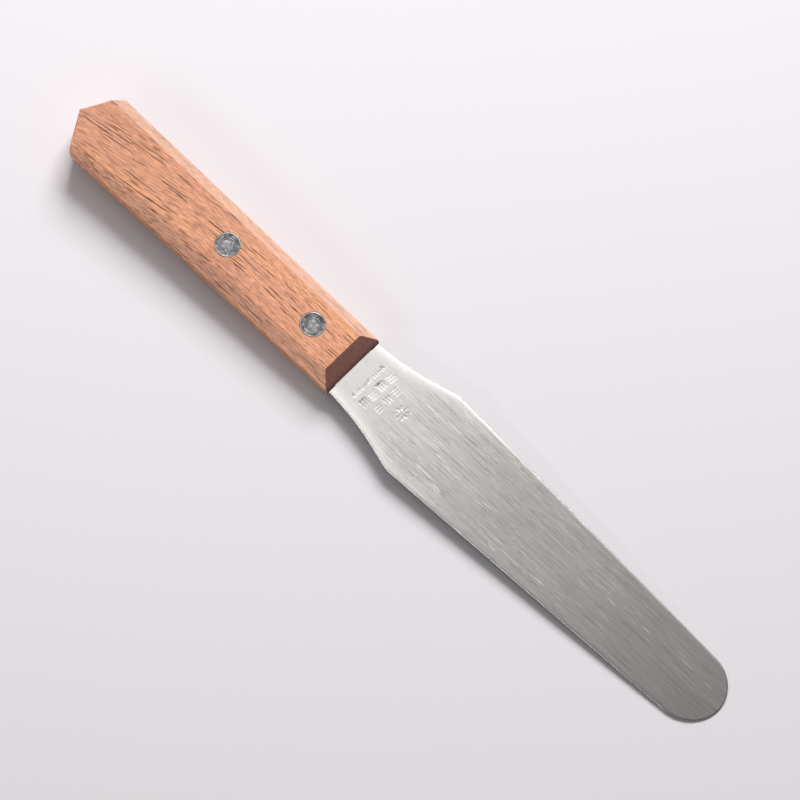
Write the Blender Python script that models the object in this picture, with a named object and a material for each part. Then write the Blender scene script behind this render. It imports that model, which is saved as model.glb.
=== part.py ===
"""Palette knife: a sprung steel blade on a stub tang, let into a saw slot in a one-piece
wooden handle and held there by two rivets with flush washers.

Everything is modelled from the middle of the handle's nose, with the blade along +X, and
hangs on one empty that stands the knife on the floor, centred on the origin. Metres.
"""
import math

import bmesh
import bpy
from mathutils import Vector

# Handle: a flat bar, wider at the butt, bevelled along its length
HANDLE_LENGTH = 0.0964        # nose to the point of the butt
HANDLE_THICKNESS = 0.0088
FRONT_WIDTH = 0.0187
BUTT_WIDTH = 0.0200
BUTT_DEPTH = 0.0055           # how far the two butt cuts run in from the point
BUTT_POINT_OFFSET = -0.0007   # the point stands a little off the centre line
BEVEL_RUN = 0.0031            # width of the 45 degree long bevels, seen from above
WORN_BEVEL_RUN = 0.0017       # the same on the upper near side at the butt
WORN_BEVEL_START = 0.050      # distance behind the nose where that bevel starts to narrow
FRONT_CHAMFER_RUN = 0.0038
NOSE_FLAT = 0.0016            # height of the blunt edge between the two front chamfers
HANDLE_EDGE_RADIUS = 0.0005

# Blade: outline from the nose, as full widths at named places
BLADE_REACH = 0.127
HEEL_WIDTH = 0.01776
NECK_LENGTH = 0.0095
NECK_WIDTH = 0.0188
NECK_RADIUS = 0.080
SHOULDER_REACH = 0.0246
SHOULDER_WIDTH = 0.0269
SHOULDER_RADIUS = 0.010
TIP_WIDTH = 0.0189
TIP_LENGTH = 0.0102
HEEL_THICKNESS = 0.0009
TIP_THICKNESS = 0.0005
BLADE_EDGE_EASE = 0.0001

# Tang: narrower than the heel, so that the heel's shoulders stop against the nose
TANG_LENGTH = 0.0550
TANG_WIDTH = 0.0130
TANG_END_RADIUS = 0.0040

# Rivets, each a headed pin from below with a washer under its spread end
FRONT_RIVET_SETBACK = 0.0143
RIVET_SPACING = 0.0300
RIVET_HEAD_DIAMETER = 0.0067
RIVET_HEAD_THICKNESS = 0.0010
RIVET_SHANK_DIAMETER = 0.0040
RIVET_BELOW_FLUSH = 0.00005
RIVET_EDGE_CHAMFER = 0.0002

FIT_GAP = 0.00025             # between any two pieces that touch
CUTTER_OVERSHOOT = 0.002
ROUND_STEPS = 48
ARC_STEP = math.radians(3.0)
SMOOTH_BELOW = math.radians(30.0)


def clear_scene():
    for old in list(bpy.data.objects):
        bpy.data.objects.remove(old, do_unlink=True)


def metal_or_wood(name, colour, metallic, roughness):
    material = bpy.data.materials.new(name)
    material.use_nodes = True
    shader = material.node_tree.nodes["Principled BSDF"]
    shader.inputs["Base Color"].default_value = (*colour, 1.0)
    shader.inputs["Metallic"].default_value = metallic
    shader.inputs["Roughness"].default_value = roughness
    return material


def object_from(name, bm, parent, material=None):
    """One object in the parent's frame, made from a finished bmesh."""
    mesh = bpy.data.meshes.new(name)
    bmesh.ops.recalc_face_normals(bm, faces=bm.faces)
    bm.to_mesh(mesh)
    bm.free()
    mesh.shade_smooth()
    mesh.set_sharp_from_angle(angle=SMOOTH_BELOW)
    piece = bpy.data.objects.new(name, mesh)
    piece.parent = parent
    bpy.context.scene.collection.objects.link(piece)
    if material:
        mesh.materials.append(material)
    return piece


def as_cutter(piece):
    piece.hide_render = True
    piece.display_type = "WIRE"
    return piece


def cut(piece, cutter):
    modifier = piece.modifiers.new(f"cut_{cutter.name}", "BOOLEAN")
    modifier.operation = "DIFFERENCE"
    modifier.solver = "EXACT"
    modifier.object = cutter


def ease_edges(piece, width, segments, sharper_than):
    modifier = piece.modifiers.new("eased_edges", "BEVEL")
    modifier.width = width
    modifier.segments = segments
    modifier.limit_method = "ANGLE"
    modifier.angle_limit = math.radians(sharper_than)


def prism(outlines, bottom, top):
    """A bmesh with straight sides on outlines of (x, y) points, joined where they share a side."""
    bm = bmesh.new()
    corners = {}
    for outline in outlines:
        for point in outline:
            if point not in corners:
                corners[point] = bm.verts.new((*point, bottom))
        bm.faces.new([corners[point] for point in outline])
    grown = bmesh.ops.extrude_face_region(bm, geom=bm.faces[:])
    risen = [item for item in grown["geom"] if isinstance(item, bmesh.types.BMVert)]
    bmesh.ops.translate(bm, verts=risen, vec=(0, 0, top - bottom))
    return bm


def turned(name, profile, parent, material=None):
    """A closed (radius, z) profile, listed top to bottom down its outer side, spun about Z."""
    bm = bmesh.new()
    points = [bm.verts.new((radius, 0, z)) for radius, z in profile]
    for first, second in zip(points, points[1:]):
        bm.edges.new((first, second))
    piece = object_from(name, bm, parent, material)
    screw = piece.modifiers.new("turn", "SCREW")
    screw.axis = "Z"
    screw.steps = ROUND_STEPS
    screw.render_steps = ROUND_STEPS
    screw.use_merge_vertices = True
    screw.merge_threshold = 0.00001
    screw.use_smooth_shade = True
    screw.use_normal_calculate = False
    return piece


def fillet(before, corner, after, radius):
    """Points of the arc that rounds a corner of an outline."""
    corner = Vector(corner)
    back = (Vector(before) - corner).normalized()
    ahead = (Vector(after) - corner).normalized()
    half_angle = back.angle(ahead) / 2
    centre = corner + (back + ahead).normalized() * (radius / math.sin(half_angle))
    start = corner + back * (radius / math.tan(half_angle)) - centre
    sweep = math.pi - 2 * half_angle
    turn = -1 if back.cross(ahead) > 0 else 1
    count = max(2, math.ceil(sweep / ARC_STEP))
    arc = []
    for step in range(count + 1):
        angle = turn * sweep * step / count
        spoke = Vector((start.x * math.cos(angle) - start.y * math.sin(angle),
                        start.x * math.sin(angle) + start.y * math.cos(angle)))
        arc.append(tuple(centre + spoke))
    return arc


def mirrored(half_outline):
    """The whole outline from its +Y half, which runs from the butt side to the tip."""
    return half_outline + [(x, -y) for x, y in reversed(half_outline) if y > 1e-9]


def tip_arc(shoulder):
    """A half ellipse at the blade's end that the straight edge runs into without a corner."""
    middle = BLADE_REACH - TIP_LENGTH
    slope = (TIP_WIDTH / 2 - shoulder[1]) / (middle - shoulder[0])
    level = TIP_WIDTH / 2
    half_width = math.sqrt(level ** 2 - (TIP_LENGTH * slope) ** 2)
    start = math.acos(-TIP_LENGTH * slope / level)
    count = math.ceil(start / ARC_STEP)
    return [(middle + TIP_LENGTH * math.cos(start * (1 - step / count)),
             half_width * math.sin(start * (1 - step / count)))
            for step in range(count + 1)]


def blade_half_outline():
    """The +Y edge of the blade, from the heel to the tip."""
    heel = (FIT_GAP, HEEL_WIDTH / 2)
    neck = (NECK_LENGTH, NECK_WIDTH / 2)
    shoulder = (SHOULDER_REACH, SHOULDER_WIDTH / 2)
    tip = tip_arc(shoulder)
    return ([heel] + fillet(heel, neck, shoulder, NECK_RADIUS)
            + fillet(neck, shoulder, tip[0], SHOULDER_RADIUS) + tip)


def tang_half_outline(clearance, mouth):
    """The +Y edge of the tang, or of its slot when clearance is given, out to x = mouth."""
    end = -(TANG_LENGTH + clearance)
    half_width = TANG_WIDTH / 2 + clearance
    middle = (end, 0.0)
    corner = (end, half_width)
    side = (mouth, half_width)
    return fillet(middle, corner, side, TANG_END_RADIUS + clearance) + [side]


def rivet_places():
    return {"front": -FRONT_RIVET_SETBACK, "rear": -(FRONT_RIVET_SETBACK + RIVET_SPACING)}


def build_blade(parent, steel):
    tang = tang_half_outline(0.0, FIT_GAP)
    bm = prism([mirrored(tang), mirrored(tang[-1:] + blade_half_outline())],
               -HEEL_THICKNESS / 2, HEEL_THICKNESS / 2)
    for vertex in bm.verts:
        along = max(0.0, vertex.co.x) / BLADE_REACH
        thickness = HEEL_THICKNESS + (TIP_THICKNESS - HEEL_THICKNESS) * along
        vertex.co.z = math.copysign(thickness / 2, vertex.co.z)
    blade = object_from("blade", bm, parent, steel)
    ease_edges(blade, BLADE_EDGE_EASE, 1, 40)
    reach = HEEL_THICKNESS / 2 + CUTTER_OVERSHOOT
    for place, x in rivet_places().items():
        radius = RIVET_SHANK_DIAMETER / 2 + FIT_GAP
        hole = turned(f"{place}_tang_hole", [(0, reach), (radius, reach), (radius, -reach), (0, -reach)],
                      parent)
        hole.location.x = x
        cut(blade, as_cutter(hole))
    return blade


def handle_section(half_width, near_upper_run):
    """Eight (y, z) corners of the bar, counter-clockwise seen from the nose."""
    half_height = HANDLE_THICKNESS / 2
    side = half_height - BEVEL_RUN
    near_side = half_height - near_upper_run
    return [(-half_width, -side), (-half_width + BEVEL_RUN, -half_height),
            (half_width - BEVEL_RUN, -half_height), (half_width, -side),
            (half_width, side), (half_width - BEVEL_RUN, half_height),
            (-half_width + near_upper_run, half_height), (-half_width, near_side)]


def handle_blank():
    """The bevelled bar before its ends are cut: three sections joined by long faces."""
    def half_width(distance):
        share = distance / (HANDLE_LENGTH - BUTT_DEPTH)
        return (FRONT_WIDTH + (BUTT_WIDTH - FRONT_WIDTH) * share) / 2

    bm = bmesh.new()
    rings = []
    for distance, run in ((HANDLE_LENGTH, WORN_BEVEL_RUN), (WORN_BEVEL_START, BEVEL_RUN),
                          (0.0, BEVEL_RUN)):
        corners = handle_section(half_width(distance), run)
        rings.append([bm.verts.new((-distance, y, z)) for y, z in corners])
    for first, second in zip(rings, rings[1:]):
        for index in range(len(first)):
            after = (index + 1) % len(first)
            bm.faces.new((first[index], first[after], second[after], second[index]))
    bm.faces.new(rings[0])
    bm.faces.new(rings[-1])
    return bm


def saw_off(bm, through, outward):
    """Remove what lies beyond a plane and close the cut."""
    bmesh.ops.bisect_plane(bm, geom=bm.verts[:] + bm.edges[:] + bm.faces[:],
                           plane_co=through, plane_no=outward, clear_outer=True)
    bmesh.ops.holes_fill(bm, edges=[edge for edge in bm.edges if edge.is_boundary])


def rivet_seat(place, x, parent):
    """The stepped hole for one rivet: head seat below, pin hole, washer seat above."""
    face = HANDLE_THICKNESS / 2
    beyond = face + CUTTER_OVERSHOOT
    seat = face - RIVET_BELOW_FLUSH - RIVET_HEAD_THICKNESS - FIT_GAP
    wide = RIVET_HEAD_DIAMETER / 2 + FIT_GAP
    narrow = RIVET_SHANK_DIAMETER / 2 + FIT_GAP
    hole = turned(f"{place}_rivet_seat",
                  [(0, beyond), (wide, beyond), (wide, seat), (narrow, seat),
                   (narrow, -seat), (wide, -seat), (wide, -beyond), (0, -beyond)], parent)
    hole.location.x = x
    return as_cutter(hole)


def build_handle(parent, wood):
    half_height = HANDLE_THICKNESS / 2
    bm = handle_blank()
    rise = half_height - NOSE_FLAT / 2
    for side in (1, -1):
        saw_off(bm, (0, 0, side * NOSE_FLAT / 2), (rise, 0, side * FRONT_CHAMFER_RUN))
        across = BUTT_WIDTH / 2 - side * BUTT_POINT_OFFSET
        saw_off(bm, (-HANDLE_LENGTH, BUTT_POINT_OFFSET, 0), (-across, side * BUTT_DEPTH, 0))
    handle = object_from("handle", bm, parent, wood)
    ease_edges(handle, HANDLE_EDGE_RADIUS, 3, 20)
    slot_height = HEEL_THICKNESS / 2 + FIT_GAP
    slot = object_from("tang_slot", prism([mirrored(tang_half_outline(FIT_GAP, CUTTER_OVERSHOOT))],
                                          -slot_height, slot_height), parent)
    cut(handle, as_cutter(slot))
    for place, x in rivet_places().items():
        cut(handle, rivet_seat(place, x, parent))
    return handle


def build_rivets(parent, rivet_metal):
    top = HANDLE_THICKNESS / 2 - RIVET_BELOW_FLUSH
    inner = top - RIVET_HEAD_THICKNESS
    head = RIVET_HEAD_DIAMETER / 2
    shank = RIVET_SHANK_DIAMETER / 2
    bore = shank + FIT_GAP
    ease = RIVET_EDGE_CHAMFER
    for place, x in rivet_places().items():
        rivet = turned(f"{place}_rivet",
                       [(0, top), (shank - ease, top), (shank, top - ease), (shank, -inner),
                        (head, -inner), (head, ease - top), (head - ease, -top), (0, -top)],
                       parent, rivet_metal)
        washer = turned(f"{place}_rivet_washer",
                        [(bore, top), (head - ease, top), (head, top - ease), (head, inner),
                         (bore, inner), (bore, top)], parent, rivet_metal)
        rivet.location.x = x
        washer.location.x = x


def build_knife():
    clear_scene()
    steel = metal_or_wood("brushed_blade_steel", (0.62, 0.61, 0.59), 1.0, 0.32)
    wood = metal_or_wood("oiled_red_wood", (0.66, 0.34, 0.21), 0.0, 0.55)
    rivet_metal = metal_or_wood("dull_rivet_metal", (0.42, 0.43, 0.44), 1.0, 0.42)
    nose = bpy.data.objects.new("nose_centre", None)
    nose.location = ((HANDLE_LENGTH - BLADE_REACH) / 2, 0, HANDLE_THICKNESS / 2)
    bpy.context.scene.collection.objects.link(nose)
    build_blade(nose, steel)
    build_handle(nose, wood)
    build_rivets(nose, rivet_metal)
    bpy.context.view_layer.update()


build_knife()
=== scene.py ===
"""The looks of the palette knife: shaped handle, ground and stamped blade, closed rivets.

The knife is nose-heavy, so on a table it tips until the end of the blade touches. The table,
the camera, the key light and the fill are set up in the table's own frame, which leans a
little in the knife's. Metres throughout, except where a comment says mm.
"""
import math

import bmesh
import bpy
from mathutils import Matrix, Vector, noise


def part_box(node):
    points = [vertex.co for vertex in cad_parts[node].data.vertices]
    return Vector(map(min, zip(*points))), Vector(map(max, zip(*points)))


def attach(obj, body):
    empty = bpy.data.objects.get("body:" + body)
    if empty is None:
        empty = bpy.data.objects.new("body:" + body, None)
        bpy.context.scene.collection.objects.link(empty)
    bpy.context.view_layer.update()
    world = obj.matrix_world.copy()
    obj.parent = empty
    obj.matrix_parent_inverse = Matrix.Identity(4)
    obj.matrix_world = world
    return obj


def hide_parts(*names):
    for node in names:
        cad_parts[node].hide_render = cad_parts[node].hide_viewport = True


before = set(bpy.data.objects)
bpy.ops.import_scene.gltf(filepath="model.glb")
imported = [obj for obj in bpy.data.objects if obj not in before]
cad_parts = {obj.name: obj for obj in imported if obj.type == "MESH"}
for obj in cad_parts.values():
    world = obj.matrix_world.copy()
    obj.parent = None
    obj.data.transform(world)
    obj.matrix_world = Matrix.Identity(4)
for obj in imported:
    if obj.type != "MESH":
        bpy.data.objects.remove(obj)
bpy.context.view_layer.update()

MM = 0.001

# Places taken from the frame
HANDLE_LOW, HANDLE_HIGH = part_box("handle")
BLADE_LOW, BLADE_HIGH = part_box("blade")
WASHER_LOW, WASHER_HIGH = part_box("front_rivet_washer")
RIVET_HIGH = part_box("front_rivet")[1]
NOSE_X = HANDLE_HIGH.x
HANDLE_LENGTH = HANDLE_HIGH.x - HANDLE_LOW.x
HALF_THICKNESS = (HANDLE_HIGH.z - HANDLE_LOW.z) / 2
MIDDLE_Z = (HANDLE_LOW.z + HANDLE_HIGH.z) / 2
BUTT_WIDTH = HANDLE_HIGH.y - HANDLE_LOW.y
BLADE_REACH = BLADE_HIGH.x - NOSE_X
HEEL_THICKNESS = BLADE_HIGH.z - BLADE_LOW.z
NOSE_CENTRE = Vector((NOSE_X, 0.0, MIDDLE_Z))
FLUSH_HEIGHT = RIVET_HIGH.z - MIDDLE_Z      # from the middle to a rivet's closed end

# Handle
FRONT_WIDTH = 18.7 * MM
BUTT_DEPTH = 5.5 * MM         # from the corners of the butt back to its point
BUTT_POINT_OFFSET = -0.7 * MM
BEVEL_RUN = 3.1 * MM          # from a side in to where the flat begins
WORN_BEVEL_RUN = 1.7 * MM     # the same for the near upper bevel, at the butt
WORN_BEVEL_START = 50 * MM    # from the nose to where that bevel begins to narrow
FRONT_CHAMFER_RUN = 3.8 * MM
NOSE_FLAT = 1.6 * MM          # height of the flat end between the front chamfers
HANDLE_STATIONS = 36
HAND_WANDER = 0.10 * MM       # how far a sanded edge strays from straight
WANDER_LENGTH = 16 * MM
WANDER_STRIDE = 7.3           # between one edge and the next in the noise that moves them
WANDER_LEVEL = 0.5
# radii of the rounded edges
CRISP_EDGE = 0.22 * MM
SANDED_EDGE = 0.45 * MM
RUBBED_EDGE = 0.9 * MM
WORN_EDGE = 2.0 * MM
BUTT_EDGE = 1.4 * MM
EDGE_SEGMENTS = 5
FLATTEST_EDGE = math.radians(12)
LENGTHWISE = 0.97             # how nearly an edge's direction has to be X to count as a long edge
SHARP_ANGLE = math.radians(30)              # of the rivets too
SNUG_GAP = 0.03 * MM          # between the pieces as drawn
CUT_CLEARANCE = 2 * MM        # how far a cutter stands out of what it cuts

# Blade
NECK_LENGTH = 9.5 * MM
NECK_WIDTH = 18.8 * MM
NECK_RADIUS = 80 * MM
HEEL_WIDTH = 17.76 * MM
SHOULDER_REACH = 24.6 * MM
SHOULDER_WIDTH = 26.9 * MM
SHOULDER_RADIUS = 10 * MM
TIP_WIDTH = 18.9 * MM
TIP_LENGTH = 10.2 * MM
TIP_THICKNESS = 0.5 * MM
TANG_LENGTH = 55 * MM
TANG_WIDTH = 13 * MM
TANG_END_RADIUS = 4 * MM
HEEL_GAP = 0.25 * MM
# (inset, drop) in mm of the lines that round the blade's edge
EDGE_RINGS = ((0.0, 0.15), (0.02, 0.125), (0.15, 0.025), (0.18, 0.006), (0.22, 0.0))
BLADE_STEP = 0.8 * MM
ARC_STEP = math.radians(2.5)
TANG_COLUMNS = 9
SIDE_COLUMNS = 5
BLADE_SHARP_ANGLE = math.radians(35)
MERGE_DISTANCE = 0.002 * MM
UV_LENGTH = 0.1
# hand polishing, which fades out between the shoulder and this far along the blade
POLISH_END = 46 * MM
ROLL_WIDTH = 2.2 * MM
ROLL_DROP = 0.013 * MM
# the rim and the band by the neck are polished and carry a painted highlight
RIM_WIDTH = 0.24 * MM
POLISH_WIDTH = 3.6 * MM
POLISH_POWER = 1.5            # above 1, the band is brightest close to the edge
NEAR_POLISH_AND_HIGHLIGHT = 0.90
FAR_POLISH_AND_HIGHLIGHT = 0.60

# Stamped ornament: strokes, then their layout in mm along and across the blade
STROKE_WIDTH = 0.11 * MM
STROKE_DEPTH = 0.007 * MM
STROKE_POINT = 0.4            # length of a stroke's pointed end, in widths
TICK_ROW_X = 5.6
TICK_COUNT = 17
TICK_SPACING = 0.66
TICK_REACHES = (0.25, 0.5)
WEAVE_ROWS = ((8.8, 4), (12.2, 3))          # (place along the blade, blocks in the row)
WEAVE_SPACING = 3.1
WEAVE_STEPS = (-0.8, 0.0, 0.8)
WEAVE_REACH = 1.0
SPOKE_RING_X = 17.2
SPOKE_COUNT = 8
SPOKE_RADII = (0.9, 1.9)

# Rivets
HEAD_RADIUS = (WASHER_HIGH.x - WASHER_LOW.x) / 2
HEAD_DEPTH = WASHER_HIGH.z - WASHER_LOW.z
SHANK_RADIUS = 2.0 * MM
RIVET_TURNS = 96
RIVET_CENTRES = {}
for place in ("front", "rear"):
    low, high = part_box(f"{place}_rivet")
    RIVET_CENTRES[place] = Vector(((low.x + high.x) / 2, (low.y + high.y) / 2, MIDDLE_Z))
DENT_DEPTH = 0.030 * MM
DENT_SIZE = 1.1 * MM
DENT_REACH = 0.2 * MM         # dents die out this far below the closed side
DENT_MARGIN = 0.1 * MM        # and this close to the rim
DENT_LEVEL = 0.004 * MM       # makes the dents cover a little more than half of the face
DENT_STRIDE = Vector((5.1, 3.7, 0))         # between one rivet and the next in the noise
# where rubbing keeps the closed side bright: (radius, half width, strength), in mm
RUBBED_RINGS = ((3.25, 0.26, 1.0), (2.00, 0.16, 0.7), (1.20, 0.20, 0.5))
RUBBED_PIN = 0.25             # strength over the middle of the pin
RUBBED_PIN_RADIUS = 1.3
# (radius, depth below the flush face) in mm: a washer crowned by its rim and slightly hollow
WASHER_FACE = ((3.35, 0.16), (3.33, 0.08), (3.27, 0.03), (3.16, 0.0), (3.04, 0.01), (2.92, 0.03),
               (2.80, 0.045), (2.60, 0.05), (2.40, 0.05), (2.22, 0.04), (2.11, 0.05), (2.03, 0.10))
# the closed end of the pin: a turned-over lip, a shallow groove, and a nearly flat middle
PIN_FACE = ((2.00, 0.11), (1.97, 0.06), (1.90, 0.03), (1.78, 0.03), (1.64, 0.045), (1.48, 0.055),
            (1.30, 0.05), (1.12, 0.04), (0.92, 0.035), (0.72, 0.033), (0.52, 0.035), (0.34, 0.035),
            (0.17, 0.035), (0.0, 0.035))
# the factory head underneath, slightly domed
HEAD_FACE = ((3.35, 0.24), (3.32, 0.15), (3.24, 0.09), (3.05, 0.05), (2.70, 0.03), (2.20, 0.015),
             (1.60, 0.01), (1.00, 0.0), (0.50, 0.0), (0.0, 0.0))

# Marks of wood and steel: in each layer of dashes, the (length, width, depth) of a cell, how far
# a dash reaches in its cell, and an offset in metres that keeps the layers apart
DASH_BLUR = 0.05
PORE_BLUR = 0.02
# spans are (from, to, value before, value after); these two vary the dashes by chance
DASH_REACHES = (0.0, 1.0, 0.45, 1.0)
DASH_STRENGTHS = (0.0, 0.7, 0.35, 1.0)
PORE_LAYERS = (((27 * MM, 0.62 * MM, 0.62 * MM), 0.21, (0.3, 0.1, 0.2)),
               ((19 * MM, 0.50 * MM, 0.50 * MM), 0.23, (0.17, 0.05, 0.37)),
               ((12 * MM, 0.42 * MM, 0.42 * MM), 0.26, (0.02, 0.31, 0.11)),
               ((8 * MM, 0.35 * MM, 0.35 * MM), 0.28, (0.22, 0.21, 0.41)))
DARK_SCRATCHES = (((22 * MM, 0.8 * MM, 5 * MM), 0.16, (0.11, 0.23, 0)),
                  ((12 * MM, 0.6 * MM, 5 * MM), 0.18, (0.31, 0.07, 0)))
BRIGHT_SCRATCHES = (((26 * MM, 0.8 * MM, 5 * MM), 0.15, (0.05, 0.41, 0)),
                    ((13 * MM, 0.6 * MM, 5 * MM), 0.17, (0.23, 0.13, 0)))
DARK_NICKS = (((8 * MM, 0.50 * MM, 5 * MM), 0.25, (0.37, 0.19, 0)),
              ((5 * MM, 0.42 * MM, 5 * MM), 0.27, (0.13, 0.35, 0)))
BRIGHT_NICKS = (((8 * MM, 0.50 * MM, 5 * MM), 0.25, (0.29, 0.03, 0)),
                ((5 * MM, 0.42 * MM, 5 * MM), 0.27, (0.43, 0.27, 0)))

# Wood: (length, width, depth) of its patterns, then its colours
BAND_SIZE = (90 * MM, 3.0 * MM, 3.0 * MM)
FIBRE_SIZE = (13 * MM, 0.40 * MM, 0.40 * MM)
FLECK_SIZE = (2.4 * MM, 0.20 * MM, 0.20 * MM)
CROWD_SIZE = (45 * MM, 2.6 * MM, 2.6 * MM)
DRIFT_SIZE = (45 * MM, 12 * MM, 12 * MM)
SPECKLE_SIZE = (0.8 * MM, 0.5 * MM, 0.5 * MM)
GRAIN_BEND = 0.45
GRAIN_BEND_POWER = 1.5
GRAIN_BEND_START = NOSE_X - 30 * MM
GRAIN_DRIFT = 1.6 * MM
WOOD_TONES = ((0.32, (0.610, 0.268, 0.155)), (0.50, (0.725, 0.322, 0.176)),
              (0.68, (0.800, 0.358, 0.172)))
END_GRAIN_TONES = ((0.30, (0.255, 0.112, 0.083)), (0.52, (0.310, 0.142, 0.108)),
                   (0.72, (0.380, 0.185, 0.143)))
FIBRE_SHADES = ((0.30, 0.80), (0.46, 0.96), (0.54, 1.02), (0.70, 1.13))
FLECK_SHADES = ((0.30, 0.48), (0.50, 1.0), (0.72, 1.42))
PORE_COLOUR = (0.075, 0.022, 0.012)
# painted sheen on the long bevels, plainer on the far ones
PAINTED_BEVEL_SHEEN = (0.98, 1.23, 1.56)
PAINTED_FAR_BEVEL_SHEEN = (0.63, 0.365, 0.255)
# painted light on the near upper bevel
PAINTED_NEAR_BEVEL_LIGHT = (1.62, 1.46, 1.34)
# painted light on the near side, towards the butt
PAINTED_NEAR_SIDE_LIGHT = (1.38, 1.34, 1.30)
FAR_SIDE_TINT = (0.76, 0.88, 0.98)
BUTT_TINT = (1.15, 0.92, 0.80)
WOOD_ROUGHNESS = ((0.3, 0.58), (0.7, 0.44))
PORE_ROUGHNESS = 0.80
END_GRAIN_ROUGHNESS = 0.70
WOOD_BUMP = (0.6, 0.10 * MM)                # bumps are (strength, distance)
FIBRE_RELIEF = 0.25                         # against 1 for a pore
CROWD_SPAN = (0.36, 0.52, 0.30, 1.0)
# painted shade of the joint with the blade, and dirt there
SHADE_AND_DIRT_SPAN = (0.5 * MM, 1.8 * MM, 0.45, 1.0)             # up or down from the blade's middle
# spans over the normal that pick out faces
BEVELS_FROM = (0.25, 0.60)
BEVELS_TO = (0.80, 0.96, 1.0, 0.0)
FAR_BEVEL_SPAN = (0.0, 0.3, 0.0, 0.45)
# these two pick out the near upper bevel for its painted light
NEAR_BEVEL_SIDEWAYS = (-0.60, -0.25, 1.0, 0.0)
NEAR_BEVEL_UPWARDS = (0.25, 0.60)
NEAR_SIDE_SPAN = (-0.92, -0.70, 1.0, 0.0)
FAR_SIDE_SPAN = (0.85, 0.97)
BUTT_FROM = (-0.98, -0.85)
BUTT_TO = (-0.80, -0.25, 1.0, 0.0)
END_GRAIN_SPAN = (0.50, 0.64)
# spans over x and y
NEAR_CROWDING = (-8 * MM, -2 * MM, 0.10, 0.0)
LIGHTER_FORWARD = (NOSE_X - HANDLE_LENGTH, NOSE_X, 0.90, 1.07)
NEAR_SIDE_FADE = (NOSE_X - HANDLE_LENGTH, NOSE_X - 55 * MM, 1.0, 0.0)
END_GRAIN_FADE = (NOSE_X - 30 * MM, NOSE_X - 10 * MM, 0.0, 1.0)

# Steel: (length, width, depth) of its patterns, then its greys
LINE_SIZE = (15 * MM, 0.25 * MM, 5 * MM)
STREAK_SIZE = (32 * MM, 0.9 * MM, 5 * MM)
PATCH_SIZE = (30 * MM, 10 * MM, 5 * MM)
WORN_SIZE = (40 * MM, 6 * MM, 5 * MM)
NICK_SLANT = 0.03             # slants are in radians
DARK_SLANT = 0.02
BRIGHT_SLANT = -0.015
LINE_GREYS = ((0.28, 0.25), (0.50, 0.49), (0.74, 0.77))
STREAK_SHADES = ((0.28, 0.94), (0.72, 1.06))
PATCH_SHADES = ((0.30, 0.95), (0.70, 1.05))
DARK_NICK_SHADE = 0.70
BRIGHT_NICK_SHADE = 1.35
RUBBED_GREY = 0.53            # of the neck
DARK_SCRATCH_GREY = 0.28
BRIGHT_SCRATCH_GREY = 0.95
# painted highlight of the polished edges
PAINTED_EDGE_HIGHLIGHT = 0.80          # where the edges are bright
STEEL_TINT = (1.0, 0.965, 0.94)
STEEL_ROUGHNESS = ((0.3, 0.34), (0.7, 0.26))
POLISHED_ROUGHNESS = 0.22
STEEL_BUMP = (0.15, 0.02 * MM)
WORN_SPAN = (0.40, 0.62)
POLISH_SPAN = (0.6, 1.0)
NICK_FADE = (NOSE_X + 75 * MM, NOSE_X + 105 * MM, 1.0, 0.2)
RUBBED_FADE = (NOSE_X + 8 * MM, NOSE_X + 24 * MM, 0.55, 0.0)
# painted shade: the steel darkens towards the tip
PAINTED_SHADE_FORWARD = (NOSE_X + 45 * MM, NOSE_X + BLADE_REACH, 1.0, 0.80)

# Rivet metal
MOTTLE_SIZE = (1.0 * MM, 1.0 * MM, 1.0 * MM)
WEAR_SIZE = (2.2 * MM, 2.2 * MM, 2.2 * MM)
MOTTLE_TONES = ((0.36, (0.060, 0.060, 0.062)), (0.50, (0.140, 0.138, 0.140)),
                (0.64, (0.250, 0.245, 0.244)))
BRIGHT_METAL = (0.50, 0.49, 0.48)
WEAR_SPAN = (0.36, 0.58, 0.35, 1.0)
RIVET_ROUGHNESS = ((0.35, 0.60), (0.65, 0.44))
RIVET_BUMP = (0.3, 0.03 * MM)

# Table, camera and lights. The table touches the handle where the lower front chamfer begins.
TABLE_LEAN = math.radians(-1.8146)
TABLE_CONTACT = Vector((NOSE_X - FRONT_CHAMFER_RUN, 0.0, HANDLE_LOW.z))
TABLE = Matrix.Translation(TABLE_CONTACT) @ Matrix.Rotation(TABLE_LEAN, 4, "Y")
VIEW_TARGET = Vector((-0.89, 2.14, 4.86)) * MM
VIEW_AZIMUTH = math.radians(44.294)
VIEW_ELEVATION = math.radians(71.342)
VIEW_DISTANCE = 2.0
LENS = 358.3
CLIP_RANGE = (0.1, 20.0)
TABLE_COLOUR = (0.80, 0.775, 0.80, 1.0)
TABLE_RADIUS = 6.0
WORLD_COLOUR = (0.98, 0.985, 1.0, 1.0)
WORLD_STRENGTH = 0.17
AIM_POINT = Vector((0.02, 0, 0))
# (azimuth and elevation in degrees, distance, size, power, colour) in the table's frame
KEY_LIGHT = (208, 42, 1.4, (0.7, 0.7), 22.6, (1.0, 0.985, 0.985))
NEAR_FILL = (-16, 30, 1.2, (0.6, 0.14), 1.45, (1.0, 1.0, 1.0))
# the overhead softbox hangs level in the knife's frame, this edge over the handle
OVERHEAD_EDGE_X = -0.048
OVERHEAD_Y = 0.075
OVERHEAD_HEIGHT = 0.30
OVERHEAD_SIZE = (0.36, 0.34)
OVERHEAD_POWER = 0.225


# ---------------------------------------------------------------- mesh helpers

def clamp(value):
    return min(1.0, max(0.0, value))


def to_mesh(name, bm):
    mesh = bpy.data.meshes.new(name)
    bmesh.ops.recalc_face_normals(bm, faces=bm.faces)
    bm.to_mesh(mesh)
    bm.free()
    return mesh


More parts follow.
